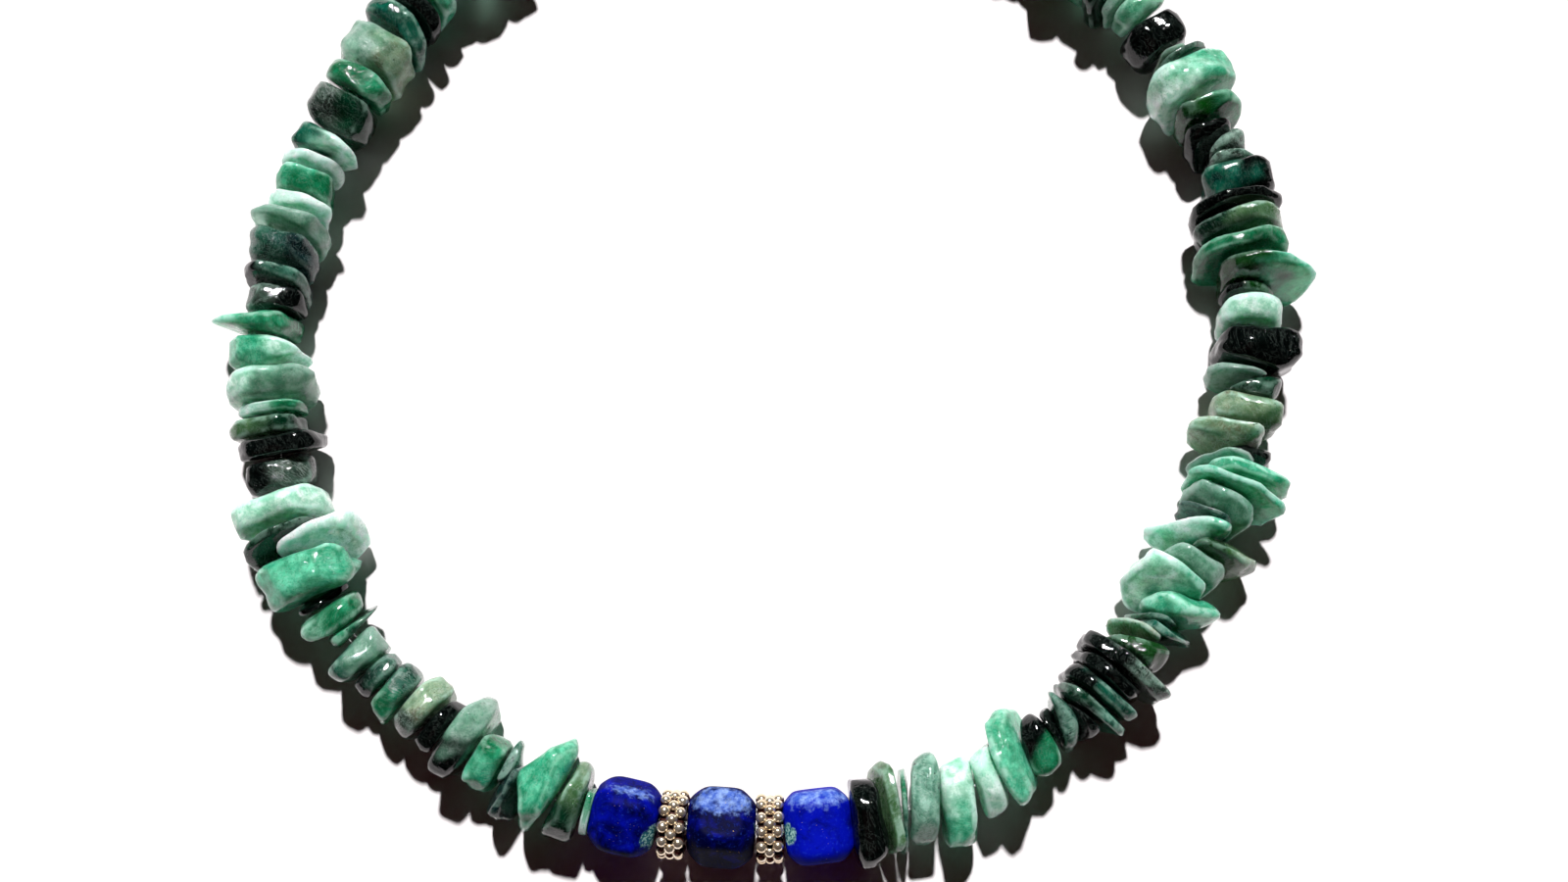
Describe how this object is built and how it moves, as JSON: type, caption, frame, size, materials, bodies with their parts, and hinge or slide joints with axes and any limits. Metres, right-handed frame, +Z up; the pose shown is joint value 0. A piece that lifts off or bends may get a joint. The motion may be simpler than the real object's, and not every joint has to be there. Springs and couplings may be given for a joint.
{
  "type": "gemstone chip anklet",
  "caption": "Stretch anklet of tumbled emerald chips on a clear cord, with a front row of faceted lapis lazuli cubes between gold granulated spacers.",
  "frame": {"origin": "middle of the anklet's bounding box, on the surface it lies on", "axes": "+Z up, square to the ring; -Y towards the front row of lapis cubes; +X to the right seen from there"},
  "size_m": [0.0854, 0.0838, 0.0062],
  "materials": {
    "clear_cord": "satin",
    "lapis_lazuli": "gloss",
    "gold": "polished",
    "emerald_pale": "gloss",
    "emerald_green": "gloss",
    "emerald_deep": "gloss",
    "emerald_black": "gloss",
    "emerald_mixed": "gloss"
  },
  "bodies": {
    "root": {"elastic_cord": "clear_cord", "lapis_left": "lapis_lazuli", "lapis_middle": "lapis_lazuli", "lapis_right": "lapis_lazuli", "spacer_left": "gold", "spacer_right": "gold", "chip_right_01": "emerald_black", "chip_right_02": "emerald_pale", "chip_right_03": "emerald_green", "chip_right_04": "emerald_pale", "chip_right_05": "emerald_green", "chip_right_06": "emerald_pale", "chip_right_07": "emerald_green", "chip_right_08": "emerald_green", "chip_right_09": "emerald_black", "chip_right_10": "emerald_pale", "chip_right_11": "emerald_black", "chip_right_12": "emerald_deep", "chip_right_13": "emerald_deep", "chip_right_14": "emerald_black", "chip_right_15": "emerald_black", "chip_right_16": "emerald_deep", "chip_right_17": "emerald_pale", "chip_right_18": "emerald_green", "chip_left_01": "emerald_green", "chip_left_02": "emerald_pale", "chip_left_03": "emerald_green", "chip_left_04": "emerald_deep", "chip_left_05": "emerald_pale", "chip_left_06": "emerald_green", "chip_left_07": "emerald_black", "chip_left_08": "emerald_black", "chip_left_09": "emerald_pale", "chip_left_10": "emerald_green", "chip_left_11": "emerald_pale", "chip_left_12": "emerald_deep", "chip_left_13": "emerald_green", "chip_left_14": "emerald_green", "chip_left_15": "emerald_black", "chip_left_16": "emerald_green", "chip_left_17": "emerald_pale", "chip_run_1": "emerald_mixed", "chip_run_2": "emerald_mixed", "chip_run_3": "emerald_mixed", "chip_run_4": "emerald_mixed", "chip_run_5": "emerald_mixed", "chip_run_6": "emerald_mixed", "chip_run_7": "emerald_mixed", "chip_run_8": "emerald_mixed"}
  },
  "joints": []
}
